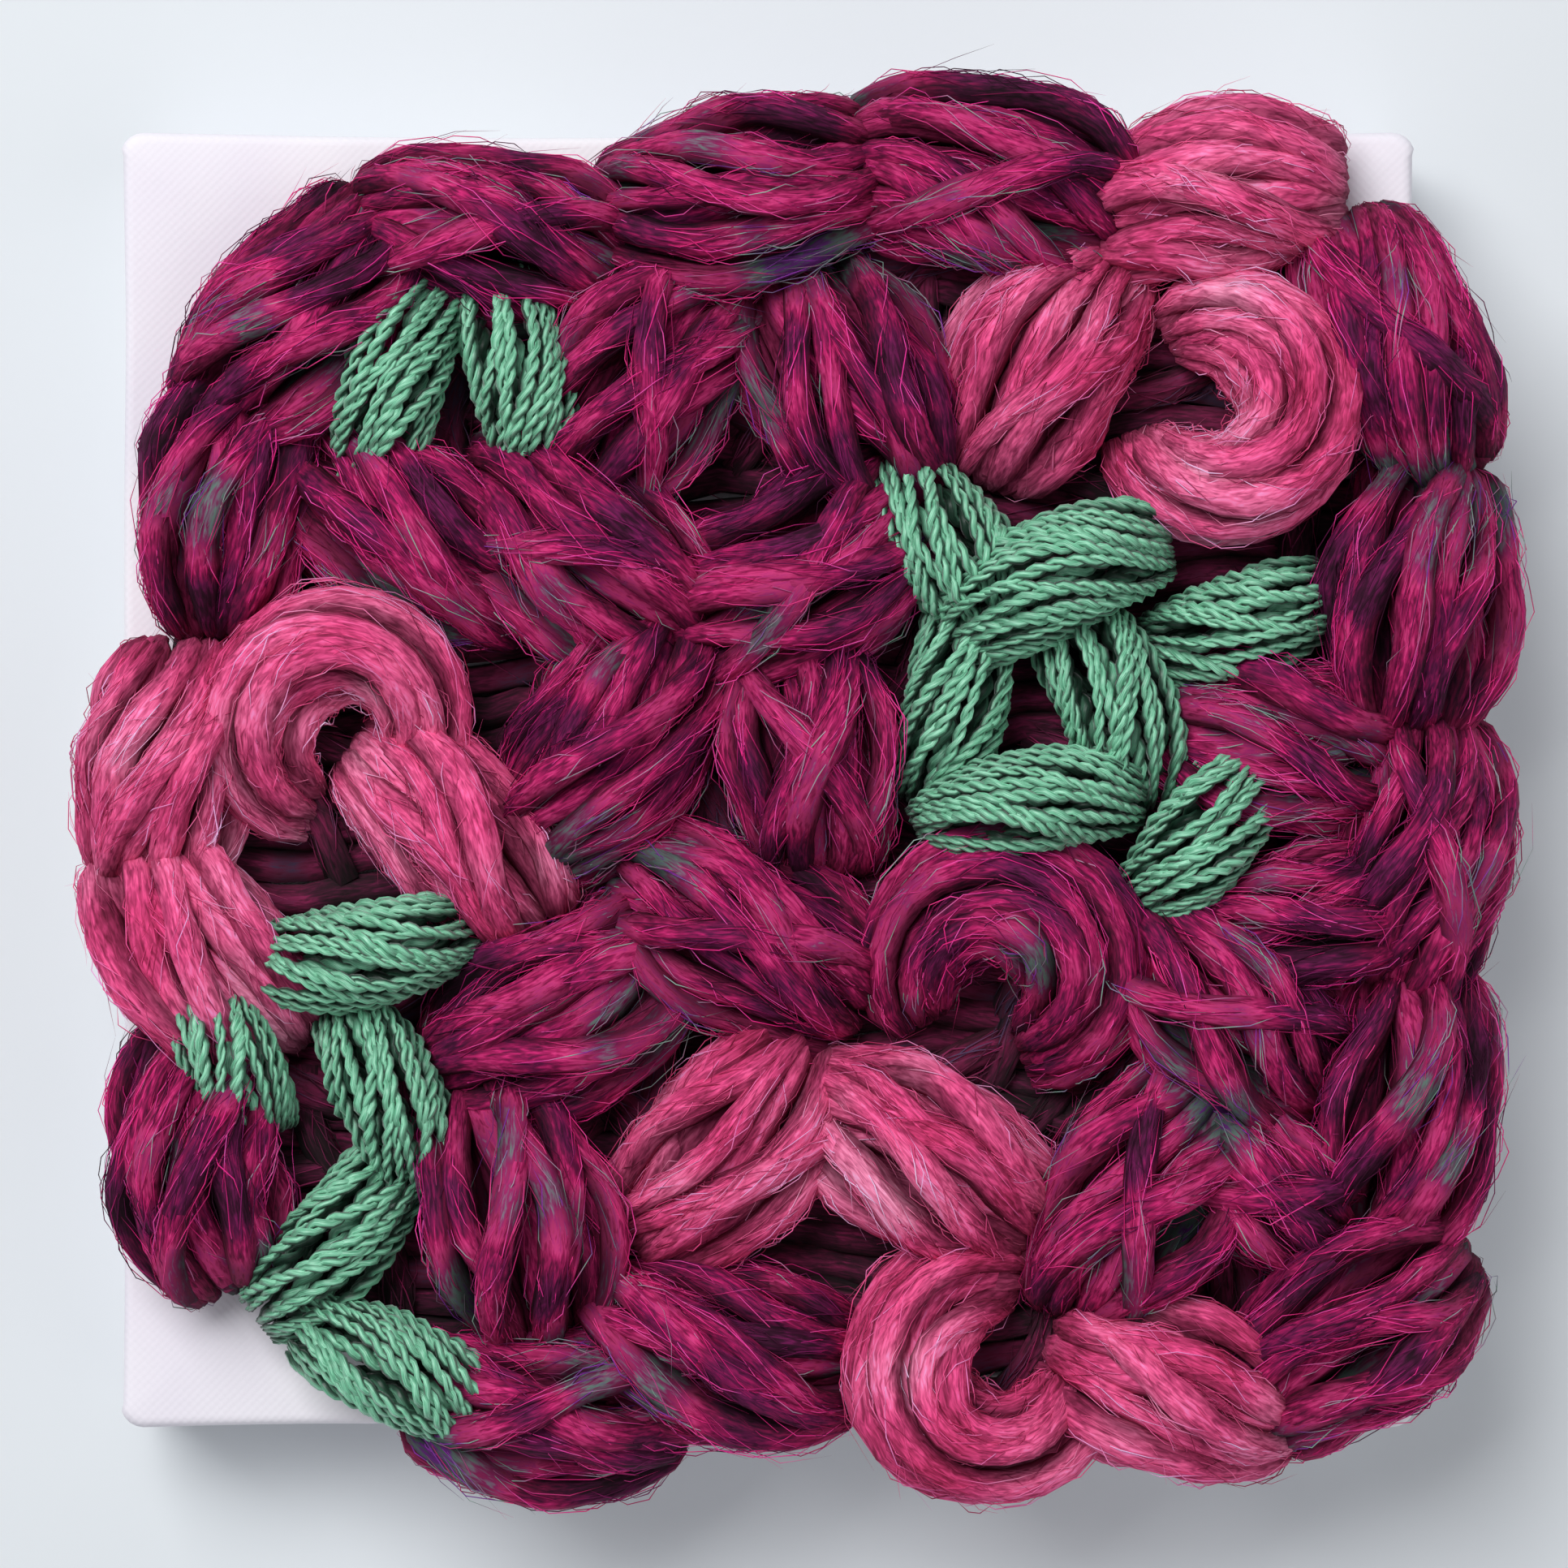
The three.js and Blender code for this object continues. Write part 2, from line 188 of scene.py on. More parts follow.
def primed_cotton():
    """Cotton duck under two coats of white primer: a plain weave of 0.45 mm threads, half filled in,
    a chalky surface. The weave is drawn at 0.7 mm, as fine as the picture can show."""
    made, tree, shader = new_material("primed_cotton_canvas", Roughness=0.82)
    place = add_node(tree, "ShaderNodeTexCoord", out="Object")
    waves = []
    for along in add_node(tree, "ShaderNodeSeparateXYZ", {0: place}).node.outputs:
        turned = add_node(tree, "ShaderNodeMath", {0: along, 1: 2 * math.pi / THREAD_SPACING},
                          operation="MULTIPLY")
        waves.append(add_node(tree, "ShaderNodeMath", {0: turned}, operation="SINE"))
    across = add_node(tree, "ShaderNodeMath", {0: waves[0], 1: waves[1]}, operation="MULTIPLY")
    weave = add_node(tree, "ShaderNodeMath", {0: across, 1: waves[2]}, operation="ADD")
    coat = add_node(tree, "ShaderNodeTexNoise", {
        "Vector": place, "Scale": 900.0, "Detail": 3.0}, out="Fac")
    height = add_node(tree, "ShaderNodeMath", {0: weave, 1: 0.35, 2: coat}, operation="MULTIPLY_ADD")
    relief = add_node(tree, "ShaderNodeBump", {"Height": height, "Strength": 0.35, "Distance": 0.08 * MM})
    blotch = add_node(tree, "ShaderNodeTexNoise", {
        "Vector": place, "Scale": 45.0, "Detail": 2.0}, out="Fac")
    white = add_node(tree, "ShaderNodeValToRGB", {"Fac": blotch},
                     stops=[(0.35, "#F1EBF6"), (0.65, "#FAF7FC")])
    tree.links.new(white, shader.inputs["Base Color"])
    tree.links.new(relief, shader.inputs["Normal"])
    return made


canvas = new_piece("primed_canvas", canvas_mesh())
canvas.data.materials.append(primed_cotton())
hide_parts("canvas")
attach(canvas, "root")


# The ground: one long yarn laid to and fro over the canvas and caught down at its turns,
# under short loops of the same yarn. It fills what shows between the hanks, and its colour is
# darkened there as painted shade.

GROUND_RIM = [
    (48.5, 0), (48.5, 20), (48, 36), (40, 47), (18, 48.5), (-4, 48), (-21, 45), (-35, 41),
    (-44, 29), (-45, 16), (-48.5, 2), (-48, -14), (-48, -30), (-41, -38), (-34, -44), (-20, -48.5),
    (0, -48.5), (22, -48.5), (40, -47), (48, -38), (48.5, -20),
]
ROW_PITCH = 2.4
GROUND_PIECES = 100
LOOP_REACH = 6.0

# How fibres sit on a strand: laid ones arch along it, loose ones have one end free.
LAID = {"Loose": 0.0, "Spread": 1.5, "Slant": 1.6, "Wander": 1.2 * MM, "Hidden Below": -0.25}
LOOSE = {"Loose": 1.0, "Spread": 1.5, "Slant": 2.4, "Wander": 3.2 * MM, "Hidden Below": -0.5}


def strand_mesh(name, strands):
    """Centre lines as a mesh of edges for a tree to sweep. Each strand is its points, the way out
    from the hank at each of them with the strand's radius as its length, and its shade."""
    points, edges, outward, tone = [], [], [], []
    for number, (line, out, shade) in enumerate(strands):
        first = len(points)
        points += list(line)
        outward += list(out)
        edges += [(first + i, first + i + 1) for i in range(len(line) - 1)]
        steps = np.linalg.norm(np.diff(line, axis=0), axis=1)
        along = np.concatenate([[0], np.cumsum(steps)])
        tone += [(shade, 7.3 * number, a / MM) for a in along]
    mesh = bpy.data.meshes.new(name)
    mesh.from_pydata([tuple(p) for p in points], edges, [])
    for label, values in (("outward", outward), ("tone", tone)):
        layer = mesh.attributes.new(label, "FLOAT_VECTOR", "POINT")
        layer.data.foreach_set("vector", np.array(values, dtype=np.float32).ravel())
    return mesh


def new_tree(name, inputs):
    """A Geometry Nodes tree with one geometry going in and out and the named inputs."""
    tree = bpy.data.node_groups.new(name, "GeometryNodeTree")
    tree.is_modifier = True
    tree.interface.new_socket("Geometry", in_out="INPUT", socket_type="NodeSocketGeometry")
    for label, kind in inputs:
        tree.interface.new_socket(label, in_out="INPUT", socket_type="NodeSocket" + kind)
    tree.interface.new_socket("Geometry", in_out="OUTPUT", socket_type="NodeSocketGeometry")
    return tree, tree.nodes.new("NodeGroupInput").outputs, tree.nodes.new("NodeGroupOutput").inputs


def run_tree(piece, tree, values):
    """Set the tree's inputs, run it and leave its result as a plain mesh."""
    modifier = piece.modifiers.new(tree.name, "NODES")
    modifier.node_group = tree
    for item in tree.interface.items_tree:
        if item.in_out == "INPUT" and item.name in values:
            modifier[item.identifier] = values[item.name]
    bpy.context.view_layer.update()
    graph = bpy.context.evaluated_depsgraph_get()
    made = bpy.data.meshes.new_from_object(piece.evaluated_get(graph), preserve_all_data_layers=True,
                                           depsgraph=graph)
    piece.modifiers.clear()
    source = piece.data
    piece.data = made
    made.name = piece.name
    bpy.data.meshes.remove(source)


def fibre_tree():
    """Lays short fibres along strands: thin three-sided spindles that lean out of the yarn."""
    tree, given, result = new_tree("fibres", [
        ("Count", "Int"), ("Length", "Float"), ("Strand Length", "Float"), ("Thickness", "Float"),
        ("Lift", "Float"), ("Loose", "Float"), ("Spread", "Float"), ("Slant", "Float"),
        ("Wander", "Float"), ("Hidden Below", "Float"), ("Seed", "Int")])
    start = add_node(tree, "GeometryNodePoints", {"Count": given["Count"]})
    line = add_node(tree, "GeometryNodeCurvePrimitiveLine")
    stem = add_node(tree, "GeometryNodeResampleCurve", {"Curve": line, "Count": 4})
    stems = add_node(tree, "GeometryNodeInstanceOnPoints", {"Points": start, "Instance": stem})
    fibres = add_node(tree, "GeometryNodeRealizeInstances", {0: stems})
    number = add_node(tree, "GeometryNodeCurveOfPoint", out="Curve Index")
    share = add_node(tree, "GeometryNodeSplineParameter", out="Factor")

    chances = []
    for offset, (low, high) in enumerate(((0.0, 0.99999), (0.5, 1.5), (0.02, 0.98), (-1.0, 1.0),
                                          (-1.0, 1.0), (0.0, 1.0), (0.0, 1.0)), 1):
        seed = add_node(tree, "ShaderNodeMath", {0: given["Seed"], 1: offset}, operation="ADD")
        chances.append(add_node(tree, "FunctionNodeRandomValue", {
            2: low, 3: high, "ID": number, "Seed": seed}, out=1, data_type="FLOAT"))
    which, longer, where, round_strand, slanting, lifting, tint = chances

    # each fibre picks a strand and a place on it
    count = add_node(tree, "GeometryNodeAttributeDomainSize", {0: given["Geometry"]}, out="Spline Count",
                     component="CURVE")
    picked = add_node(tree, "ShaderNodeMath", {0: which, 1: count}, operation="MULTIPLY")
    picked = add_node(tree, "ShaderNodeMath", {0: picked}, operation="FLOOR")
    reach = add_node(tree, "ShaderNodeMath", {0: given["Length"], 1: given["Strand Length"]},
                     operation="DIVIDE")
    reach = add_node(tree, "ShaderNodeMath", {0: reach, 1: longer}, operation="MULTIPLY")
    centred = add_node(tree, "ShaderNodeMath", {0: share, 1: 0.5}, operation="SUBTRACT")
    spot = add_node(tree, "ShaderNodeMath", {0: centred, 1: reach, 2: where}, operation="MULTIPLY_ADD")
    spot = add_node(tree, "ShaderNodeClamp", {"Value": spot})
    samples = []
    for label in ("outward", "tone"):
        stored = add_node(tree, "GeometryNodeInputNamedAttribute", {"Name": label},
                          data_type="FLOAT_VECTOR")
        samples.append(add_node(tree, "GeometryNodeSampleCurve", {
            "Curves": given["Geometry"], "Value": stored, "Factor": spot, "Curve Index": picked},
            out="Value", data_type="FLOAT_VECTOR", mode="FACTOR"))
    out, tone = samples
    centre, tangent = out.node.outputs["Position"], out.node.outputs["Tangent"]

    # it sits at an angle round the strand, and drifts round it a little from end to end
    drift = add_node(tree, "ShaderNodeMath", {0: centred, 1: slanting}, operation="MULTIPLY")
    drift = add_node(tree, "ShaderNodeMath", {0: drift, 1: given["Slant"]}, operation="MULTIPLY")
    angle = add_node(tree, "ShaderNodeMath", {0: round_strand, 1: given["Spread"], 2: drift},
                     operation="MULTIPLY_ADD")
    facing = add_node(tree, "ShaderNodeMath", {0: angle}, operation="COSINE")
    aside = add_node(tree, "ShaderNodeMath", {0: angle}, operation="SINE")
    side = add_node(tree, "ShaderNodeVectorMath", {0: tangent, 1: out}, operation="CROSS_PRODUCT")
    ahead = add_node(tree, "ShaderNodeVectorMath", {0: out, "Scale": facing}, operation="SCALE")
    beside = add_node(tree, "ShaderNodeVectorMath", {0: side, "Scale": aside}, operation="SCALE")
    away = add_node(tree, "ShaderNodeVectorMath", {0: ahead, 1: beside}, operation="ADD")

    # a laid fibre arches off the strand, a loose one leaves it more and more
    arch = add_node(tree, "ShaderNodeMath", {0: share, 1: math.pi}, operation="MULTIPLY")
    arch = add_node(tree, "ShaderNodeMath", {0: arch}, operation="SINE")
    leaving = add_node(tree, "ShaderNodeMath", {0: share, 1: 2.0}, operation="POWER")
    shape = add_node(tree, "ShaderNodeMix", {0: given["Loose"], 2: arch, 3: leaving})
    lift = add_node(tree, "ShaderNodeMath", {0: shape, 1: given["Lift"]}, operation="MULTIPLY")
    lift = add_node(tree, "ShaderNodeMath", {0: lift, 1: lifting}, operation="MULTIPLY")
    radius = add_node(tree, "ShaderNodeVectorMath", {0: out}, out="Value", operation="LENGTH")
    radius = add_node(tree, "ShaderNodeMath", {0: radius, 1: 0.1 * MM}, operation="MAXIMUM")
    scale = add_node(tree, "ShaderNodeMath", {0: lift, 1: radius}, operation="DIVIDE")
    scale = add_node(tree, "ShaderNodeMath", {0: 0.96, 1: scale}, operation="ADD")
    off = add_node(tree, "ShaderNodeVectorMath", {0: away, "Scale": scale}, operation="SCALE")
    place = add_node(tree, "ShaderNodeVectorMath", {0: centre, 1: off}, operation="ADD")

    # and it wavers
    along = add_node(tree, "ShaderNodeMath", {0: share, 1: 1.6}, operation="MULTIPLY")
    own = add_node(tree, "ShaderNodeMath", {0: number, 1: 1.37}, operation="MULTIPLY")
    spot = add_node(tree, "ShaderNodeCombineXYZ", {0: along, 1: own, 2: given["Seed"]})
    stray = add_node(tree, "ShaderNodeTexNoise", {"Vector": spot, "Scale": 1.0, "Detail": 1.0}, out="Color")
    stray = add_node(tree, "ShaderNodeVectorMath", {0: stray, 1: (0.5, 0.5, 0.5)}, operation="SUBTRACT")
    freedom = add_node(tree, "ShaderNodeMath", {0: 0.3, 1: shape}, operation="ADD")
    freedom = add_node(tree, "ShaderNodeMath", {0: given["Wander"], 1: freedom}, operation="MULTIPLY")
    stray = add_node(tree, "ShaderNodeVectorMath", {0: stray, "Scale": freedom}, operation="SCALE")
    place = add_node(tree, "ShaderNodeVectorMath", {0: place, 1: stray}, operation="ADD")

    # those on the underside of a hank never show
    level = add_node(tree, "ShaderNodeVectorMath", {0: away}, operation="NORMALIZE")
    level = add_node(tree, "ShaderNodeSeparateXYZ", {0: level}, out="Z")
    laid = add_node(tree, "GeometryNodeSetPosition", {"Geometry": fibres, "Position": place})
    # facing goes to the material, for the painted shade of fibres that lie to the side of a strand
    for label, value, kind in (("level", level, "FLOAT"), ("tone", tone, "FLOAT_VECTOR"),
                               ("tint", tint, "FLOAT"), ("facing", facing, "FLOAT")):
        laid = add_node(tree, "GeometryNodeStoreNamedAttribute", {
            "Geometry": laid, "Name": label, "Value": value}, data_type=kind, domain="POINT")
    level = add_node(tree, "GeometryNodeInputNamedAttribute", {"Name": "level"}, data_type="FLOAT")
    low = add_node(tree, "FunctionNodeCompare", {0: level, 1: given["Hidden Below"]},
                   data_type="FLOAT", operation="LESS_THAN")
    laid = add_node(tree, "GeometryNodeDeleteGeometry", {"Geometry": laid, "Selection": low},
                    domain="CURVE")

    taper = add_node(tree, "ShaderNodeMath", {0: arch, 1: 0.85, 2: 0.15}, operation="MULTIPLY_ADD")
    thick = add_node(tree, "ShaderNodeMath", {0: taper, 1: given["Thickness"]}, operation="MULTIPLY")
    section = add_node(tree, "GeometryNodeCurvePrimitiveCircle", {"Resolution": 3, "Radius": 0.5})
    swept = add_node(tree, "GeometryNodeCurveToMesh", {
        "Curve": laid, "Profile Curve": section, "Scale": thick, "Fill Caps": True})
    tree.links.new(swept, result[0])
    return tree


def swept_strand(tree, line, sides, radius):
    """Sweep a strand that keeps two things for its material: ring, the place on its section, and
    facing, how far each side faces out of the hank, for the painted shade between strands."""
    section = add_node(tree, "GeometryNodeCurvePrimitiveCircle", {"Resolution": sides, "Radius": 1.0})
    on_section = add_node(tree, "GeometryNodeInputPosition")
    section = add_node(tree, "GeometryNodeStoreNamedAttribute", {
        "Geometry": section, "Name": "ring", "Value": on_section},
        data_type="FLOAT_VECTOR", domain="POINT")
    swept = add_node(tree, "GeometryNodeCurveToMesh", {
        "Curve": line, "Profile Curve": section, "Scale": radius, "Fill Caps": True})
    out = add_node(tree, "GeometryNodeInputNamedAttribute", {"Name": "outward"}, data_type="FLOAT_VECTOR")
    out = add_node(tree, "ShaderNodeVectorMath", {0: out}, operation="NORMALIZE")
    normal = add_node(tree, "GeometryNodeInputNormal")
    facing = add_node(tree, "ShaderNodeVectorMath", {0: normal, 1: out}, out="Value",
                      operation="DOT_PRODUCT")
    return add_node(tree, "GeometryNodeStoreNamedAttribute", {
        "Geometry": swept, "Name": "facing", "Value": facing}, data_type="FLOAT", domain="POINT")


def finish_tree(tree, parts, material, result):
    """Join the parts, shade them smooth and give them their yarn."""
    joined = tree.nodes.new("GeometryNodeJoinGeometry")
    for part in parts:
        tree.links.new(part, joined.inputs[0])
    smooth = add_node(tree, "GeometryNodeSetShadeSmooth", {0: joined.outputs[0]})
    dressed = add_node(tree, "GeometryNodeSetMaterial", {"Geometry": smooth, "Material": material})
    tree.links.new(add_node(tree, "GeometryNodeRealizeInstances", {0: dressed}), result[0])


def spun_yarn_tree(fibres):
    """Sweeps the strands into round soft yarn and covers them with laid and loose fibres. The loose
    ones are a tenth longer and about half as thick."""
    tree, given, result = new_tree("spun_yarn", [
        ("Strand Length", "Float"), ("Sides", "Int"), ("Laid Fibres", "Int"), ("Loose Fibres", "Int"),
        ("Fibre Length", "Float"), ("Fibre Thickness", "Float"), ("Fuzz", "Float"),
        ("Halo", "Float"), ("Seed", "Int"), ("Yarn", "Material")])
    strands = add_node(tree, "GeometryNodeMeshToCurve", {0: given["Geometry"]})
    out = add_node(tree, "GeometryNodeInputNamedAttribute", {"Name": "outward"}, data_type="FLOAT_VECTOR")
    radius = add_node(tree, "ShaderNodeVectorMath", {0: out}, out="Value", operation="LENGTH")
    parts = [swept_strand(tree, strands, given["Sides"], radius)]
    for count, lift, longer, thicker, order, habit in (
            ("Laid Fibres", "Fuzz", 1.0, 1.0, 11, LAID), ("Loose Fibres", "Halo", 1.1, 0.55, 47, LOOSE)):
        length = add_node(tree, "ShaderNodeMath", {0: given["Fibre Length"], 1: longer},
                          operation="MULTIPLY")
        thickness = add_node(tree, "ShaderNodeMath", {0: given["Fibre Thickness"], 1: thicker},
                             operation="MULTIPLY")
        seed = add_node(tree, "ShaderNodeMath", {0: given["Seed"], 1: order}, operation="ADD")
        parts.append(add_node(tree, "GeometryNodeGroup", {
            "Geometry": strands, "Count": given[count], "Length": length, "Thickness": thickness,
            "Strand Length": given["Strand Length"], "Lift": given[lift], "Seed": seed, **habit},
            node_tree=fibres))
    finish_tree(tree, reversed(parts), given["Yarn"], result)
    return tree


def spun_yarn(name, heather, streak, fibres, strand, painted_groove_shade_floor, **shader_values):
    """Brushed yarn, soft and dull: its colour changes in patches of about 9 mm and in streaks of
    0.25 mm, each fibre has its own tone, and the grooves between strands are darkened as painted
    shade. Streak and fibres say how much colour and tone change, strand how much tone changes and
    how far the strands are darkened as painted shade under their fuzz, and painted_groove_shade_floor how
    much of its colour a groove keeps under the painted shade."""
    made, tree, shader = new_material(name, **shader_values)
    tone = add_node(tree, "ShaderNodeAttribute", out="Vector", attribute_name="tone")
    ring = add_node(tree, "ShaderNodeAttribute", out="Vector", attribute_name="ring")
    tint = add_node(tree, "ShaderNodeAttribute", out="Fac", attribute_name="tint")
    facing = add_node(tree, "ShaderNodeAttribute", out="Fac", attribute_name="facing")
    is_strand = add_node(tree, "ShaderNodeVectorMath", {0: ring}, out="Value", operation="LENGTH")

    # patches of colour, some along one strand only and some over the strands beside it too
    own_place = add_node(tree, "ShaderNodeVectorMath", {0: tone, 1: (2.0, 0.6, 0.085)},
                         operation="MULTIPLY")
    own_patch = add_node(tree, "ShaderNodeTexNoise", {
        "Vector": own_place, "Scale": 1.0, "Detail": 1.0}, out="Fac")
    place = add_node(tree, "ShaderNodeTexCoord", out="Object")
    region = add_node(tree, "ShaderNodeTexNoise", {
        "Vector": place, "Scale": 0.11 / MM, "Detail": 1.5}, out="Fac")
    patch = add_node(tree, "ShaderNodeMath", {0: own_patch, 1: 0.6, 2: -0.2}, operation="MULTIPLY_ADD")
    patch = add_node(tree, "ShaderNodeMath", {0: region, 1: 0.8, 2: patch}, operation="MULTIPLY_ADD")

    # streaks across a strand, which follow its fibres
    high = add_node(tree, "ShaderNodeVectorMath", {0: ring, 1: (2.4, 2.4, 0)}, operation="MULTIPLY")
    far = add_node(tree, "ShaderNodeVectorMath", {0: tone, 1: (0, 1.0, 0.35)}, operation="MULTIPLY")
    streak_place = add_node(tree, "ShaderNodeVectorMath", {0: high, 1: far}, operation="ADD")
    lines = add_node(tree, "ShaderNodeTexNoise", {
        "Vector": streak_place, "Scale": 2.4, "Detail": 2.0, "Distortion": 0.5}, out="Fac")
    own = add_node(tree, "ShaderNodeMix", {0: is_strand, 2: tint, 3: lines})
    mixed = add_node(tree, "ShaderNodeMath", {0: own, 1: streak, 2: patch}, operation="MULTIPLY_ADD")
    centred = add_node(tree, "ShaderNodeMath", {0: mixed, 1: 0.5 * streak}, operation="SUBTRACT")
    colour = add_node(tree, "ShaderNodeValToRGB", {"Fac": centred}, stops=heather)

    # painted shade: the strand is darkened as if in the shade of its own fuzz, and its sides as if in that
    # of the strands beside it
    fibre_light = add_node(tree, "ShaderNodeMapRange", {
        "Value": tint, "To Min": 0.45 * fibres, "To Max": 1.55 * fibres})
    strand_light = add_node(tree, "ShaderNodeMapRange", {
        "Value": lines, "From Min": 0.3, "From Max": 0.7, "To Min": 0.5 * strand, "To Max": 1.5 * strand})
    light = add_node(tree, "ShaderNodeMix", {0: is_strand, 2: fibre_light, 3: strand_light})
    # painted shade in the grooves: sides that face into the hank are darkened
    painted_groove_shade = add_node(tree, "ShaderNodeMapRange", {
        "Value": facing, "From Min": 0.05, "From Max": 0.85, "To Min": painted_groove_shade_floor, "To Max": 1.0})
    tone_and_painted_shade = add_node(tree, "ShaderNodeMath", {0: light, 1: painted_groove_shade}, operation="MULTIPLY")
    shade = add_node(tree, "ShaderNodeVectorMath", {0: colour, "Scale": tone_and_painted_shade}, operation="SCALE")
    shade = add_node(tree, "ShaderNodeVectorMath", {0: shade, 1: (0.95, 0.95, 0.95)}, operation="MINIMUM")
    tree.links.new(shade, shader.inputs["Base Color"])
    return made


def inside(x, y, rim):
    """Whether a point lies within the rim: a line from it crosses the rim an odd number of times."""
    crossings = 0
    for (ax, ay), (bx, by) in zip(rim, rim[1:] + rim[:1]):
        if (ay > y) != (by > y) and x < ax + (y - ay) / (by - ay) * (bx - ax):
            crossings += 1
    return crossings % 2 == 1


def ground_strands(radius, seed):
    """One yarn to and fro in rows from rim to rim, and short loops of it that fill up the gaps."""
    chance = np.random.default_rng(seed)
    line = []
    for number, y in enumerate(np.arange(-47, 48, ROW_PITCH)):
        across = [x for x in np.arange(-49, 49, 0.5) if inside(x, y, GROUND_RIM)]
        if len(across) < 8:
            continue
        first, last = across[0] + 1, across[-1] - 1
        steps = np.linspace(first, last, max(6, int((last - first) / 2.2)))
        row = [(x, y + 0.6 * math.sin(0.35 * x + 0.3 * number) + chance.normal(0, 0.12),
                1.1 + 0.35 * math.sin(0.5 * x + 2 * number) + chance.normal(0, 0.12)) for x in steps]
        line += row if number % 2 else row[::-1]
    strands = [np.array(line)]
    while len(strands) < GROUND_PIECES:
        x, y = chance.uniform(-46, 46, 2)
        if not inside(x, y, GROUND_RIM) or not inside(1.12 * x, 1.12 * y, GROUND_RIM):
            continue
        heading, bend = chance.uniform(0, 2 * math.pi), chance.uniform(-0.35, 0.35)
        share = np.linspace(-1, 1, 8)
        run, off = LOOP_REACH * share, LOOP_REACH * bend * share ** 2
        strands.append(np.stack([x + run * math.cos(heading) - off * math.sin(heading),
                                 y + run * math.sin(heading) + off * math.cos(heading),
                                 1.2 + chance.uniform(1.0, 2.8) * (1 - share ** 2)], 1))
    laid = []
    for points in strands:
        points = points * MM + np.array([MIDDLE[0], MIDDLE[1], CANVAS_TOP + 0.3 * MM])
        laid.append((points, np.tile((0, 0, radius), (len(points), 1)), chance.uniform(0, 1)))
    return laid


SPUN = spun_yarn_tree(fibre_tree())
# painted shade: berry yarn colours made dark for the shade deep between the hanks; strand and groove values
# darken it further
shaded_wine_heather = [(0.3, "#2C081A"), (0.45, "#62143E"), (0.58, "#962058"), (0.72, "#4A3452")]
shaded_wine = spun_yarn("brushed_shaded_wine_yarn", shaded_wine_heather, streak=0.35, fibres=1.0, strand=0.6,
                 painted_groove_shade_floor=0.3, Roughness=0.95)
rows = ground_strands(1.35 * MM, seed=3)
ground = new_piece("ground_yarn", strand_mesh("ground_line", rows))
run_tree(ground, SPUN, {"Strand Length": 14 * MM, "Sides": 5, "Laid Fibres": 2000, "Loose Fibres": 300,
                        "Fibre Length": 6 * MM, "Fibre Thickness": 0.14 * MM, "Fuzz": 0.6 * MM,
                        "Halo": 3 * MM, "Seed": 5, "Yarn": shaded_wine})
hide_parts("ground")
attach(ground, "root")


# The berry hanks: a thick mohair blend, heathered in magenta, wine, violet and grey green. Each
# hank is a bundle of strands stitched down at both ends, or a curl that is caught down in a ring.

Hank = namedtuple("Hank", "x y heading length width rise turn lift")
HANK_BOTTOM = CANVAS_TOP / MM + 2.9
LOW_PART = 0.4  # of a hank's rise, below its widest level
PINCH = 0.38  # width at its very ends, beside that in the middle
INNER = 4  # strands that fill its middle
CANVAS_EDGE = CANVAS_SIDE / MM / 2
BERRY_HANKS = [Hank(*row) for row in (
    # x, y, heading, length, width, rise, turn, lift
    (-36, 35, 53, 24, 15, 11, 25, 0), (-21, 41, -8, 23, 14, 11, -20, 0),
    (-2, 45, 12, 24, 15, 12, 25, 0), (17, 45, -10, 24, 16, 11, -25, 0),
    (48, 33, -65, 24, 14, 11, 25, 0), (-41, 21, 82, 22, 14, 10, -25, 0),
    (-27, 19, -30, 23, 15, 11, 20, 0), (-9, 30, 60, 23, 15, 11, -25, 0),
    (6, 30, -55, 23, 16, 12, 25, 0), (-14, 17, -30, 24, 15, 11, -20, 0),
    (2, 16, 35, 24, 15, 11, 25, 0), (50, 14, 85, 23, 15, 11, -20, 0),
    (-12, 3, 60, 23, 15, 12, 25, 0), (3, 2, -80, 20, 14, 11, -20, 0),
    (39, 3, -5, 20, 14, 10, 20, 0), (50, -6, 80, 23, 14, 11, 20, 0),
    (-2, -12, -25, 24, 15, 11, -20, 0), (18, -14, 160, 34, 10.5, 11, 300, 1),
    (35, -17, -40, 23, 15, 11, 20, 0), (-43, -29, 100, 22, 15, 11, -25, 0),
    (-16, -18, 35, 23, 15, 11, 25, 0), (-19, -33, -70, 23, 15, 12, -20, 0),
    (29, -32, 60, 23, 15, 11, -25, 0), (48, -25, 85, 23, 15, 11, 25, 0),
    (-17, -48, -5, 22, 14, 10, 20, 0), (-4, -43, -12, 24, 15, 10, 20, 0),
    (45, -42, 40, 23, 15, 11, -20, 0), (41, -10, 25, 18, 12, 10, 20, 0),
    (38, -31, -30, 16, 12, 10, 20, 0))]


